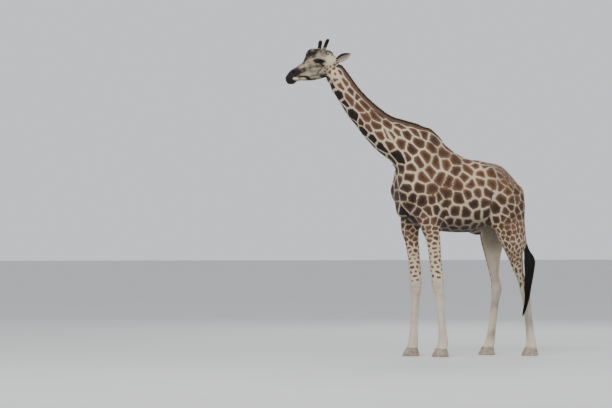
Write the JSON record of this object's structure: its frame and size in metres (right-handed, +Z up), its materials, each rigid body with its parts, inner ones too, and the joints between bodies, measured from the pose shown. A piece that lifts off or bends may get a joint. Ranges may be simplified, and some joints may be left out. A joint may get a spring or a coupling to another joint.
{
  "type": "standing giraffe figure",
  "caption": "Life-size still giraffe, standing on all fours with the neck reaching forward and up and the head level.",
  "frame": {"origin": "on the floor, under the centre of the animal's bounding box", "axes": "+Z up; the animal faces -X and its left side is -Y"},
  "size_m": [3.3498, 0.743, 4.0274],
  "materials": {
    "coat": "short lying hair, brown patches on cream",
    "stockings": "short cream hair with small brown spots above the knee",
    "mane_hair": "stiff upright brown hair with dark tips",
    "black_hair": "long black tail hair",
    "eye": "wet, very dark brown",
    "horn_skin": "short hair, black on the knob",
    "hoof": "dull grey-brown horn"
  },
  "bodies": {
    "root": {"head": "coat", "neck": "coat", "trunk": "coat", "tail": "coat", "ear_left": "coat", "ear_right": "coat", "foreleg_left": "stockings", "foreleg_right": "stockings", "hindleg_left": "stockings", "hindleg_right": "stockings", "mane": "mane_hair", "tail_tuft": "black_hair", "eye_left": "eye", "eye_right": "eye", "ossicone_left": "horn_skin", "ossicone_right": "horn_skin", "hoof_fore_left_a": "hoof", "hoof_fore_left_b": "hoof", "hoof_fore_right_a": "hoof", "hoof_fore_right_b": "hoof", "hoof_hind_left_a": "hoof", "hoof_hind_left_b": "hoof", "hoof_hind_right_a": "hoof", "hoof_hind_right_b": "hoof"}
  },
  "joints": []
}
